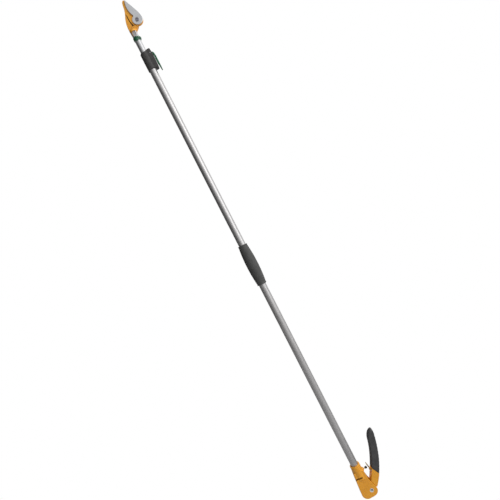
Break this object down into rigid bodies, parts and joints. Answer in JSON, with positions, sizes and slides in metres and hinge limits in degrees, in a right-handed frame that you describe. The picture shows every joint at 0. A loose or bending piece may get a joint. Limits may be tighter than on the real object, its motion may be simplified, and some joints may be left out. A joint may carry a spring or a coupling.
{
  "type": "telescoping pole pruner",
  "caption": "Two-section telescoping pole pruner with a hooked bypass head, cam clamp, mid grip and squeeze lever handle.",
  "frame": {"origin": "centre of the hollow pivot of the hand lever, which is also the hanging hole, at the bottom of the pole", "axes": "+Z along the pole towards the blade, +X towards the hand lever and the blade, -Y towards the side the blade is on"},
  "size_m": [0.1213, 0.0374, 1.7282],
  "materials": {
    "orange_paint": "satin",
    "zinc_steel": "satin",
    "bolt_steel": "satin",
    "blade_steel": "ground",
    "brass": "satin",
    "knob_black": "satin",
    "tube_aluminium": "satin anodised",
    "grip_foam": "matte",
    "grip_rubber": "matte",
    "black_nylon": "textured",
    "natural_nylon": "satin",
    "green_plastic": "gloss"
  },
  "bodies": {
    "handle": {"handle_casting": "orange_paint", "handle_screws": "zinc_steel", "pivot_bush": "natural_nylon", "pivot_washers": "black_nylon", "latch_stud": "brass", "latch_knob": "knob_black", "lower_tube": "tube_aluminium", "mid_grip": "grip_foam", "rod_guide_low": "black_nylon", "tube_stop_ring": "tube_aluminium", "clamp_body": "black_nylon", "clamp_bush": "black_nylon", "clamp_shoe": "brass", "clamp_screws": "zinc_steel", "cam_pin": "zinc_steel"},
    "hand_lever": {"lever_casting": "orange_paint", "lever_grip": "grip_rubber", "latch_pin": "zinc_steel"},
    "latch_bail": {"latch_bail": "brass"},
    "cam_lever": {"cam_lever": "green_plastic"},
    "lower_pull": {"yoke": "zinc_steel", "yoke_pin": "zinc_steel", "pull_tube": "zinc_steel", "clutch_housing": "zinc_steel", "clutch_jaws": "brass", "clutch_spring": "zinc_steel", "clutch_cap": "black_nylon"},
    "upper_section": {"upper_tube": "tube_aluminium", "foot_bush": "black_nylon", "stop_collar": "green_plastic", "rod_guide_high": "black_nylon", "return_spring": "zinc_steel", "head_casting": "orange_paint", "head_rivets": "zinc_steel", "head_cover": "orange_paint", "cover_screws": "zinc_steel", "pivot_bolt": "bolt_steel", "pivot_washer": "zinc_steel", "pivot_nut": "zinc_steel"},
    "upper_pull": {"pull_rod": "zinc_steel", "spring_collar": "brass", "pull_link": "zinc_steel", "link_rivets": "zinc_steel"},
    "blade": {"blade": "blade_steel", "tail_pin": "zinc_steel"}
  },
  "joints": [
    {"name": "pole_slide", "type": "slide", "parent": "handle", "child": "upper_section", "axis": [0, 0, 1], "range_m": [0, 1.1]},
    {"name": "lever_swing", "type": "hinge", "parent": "handle", "child": "hand_lever", "pos_m": [0, 0, 0], "axis": [0, 1, 0], "range_deg": [0, 40]},
    {"name": "lower_pull_slide", "type": "slide", "parent": "handle", "child": "lower_pull", "axis": [0, 0, 1], "range_m": [0, 0.00874]},
    {"name": "rod_slide", "type": "slide", "parent": "upper_section", "child": "upper_pull", "axis": [0, 0, 1], "range_m": [0, 0.00874], "deforming": ["return_spring"]},
    {"name": "blade_swing", "type": "hinge", "parent": "upper_section", "child": "blade", "pos_m": [0.0162, 0, 1.6325], "axis": [0, 1, 0], "range_deg": [0, 44.65]},
    {"name": "cam_swing", "type": "hinge", "parent": "handle", "child": "cam_lever", "pos_m": [0.006, 0, 1.521], "axis": [0, -1, 0], "range_deg": [0, 100]},
    {"name": "latch_swing", "type": "hinge", "parent": "hand_lever", "child": "latch_bail", "pos_m": [0.0264, 0, 0.053], "axis": [0, 1, 0], "range_deg": [-35, 14]}
  ],
  "couplings": [
    {"joint": "lower_pull_slide", "follows": "lever_swing", "m_per_rad": 0.012512},
    {"joint": "rod_slide", "follows": "lever_swing", "m_per_rad": 0.012512},
    {"joint": "blade_swing", "follows": "lever_swing", "ratio": 1.116}
  ]
}
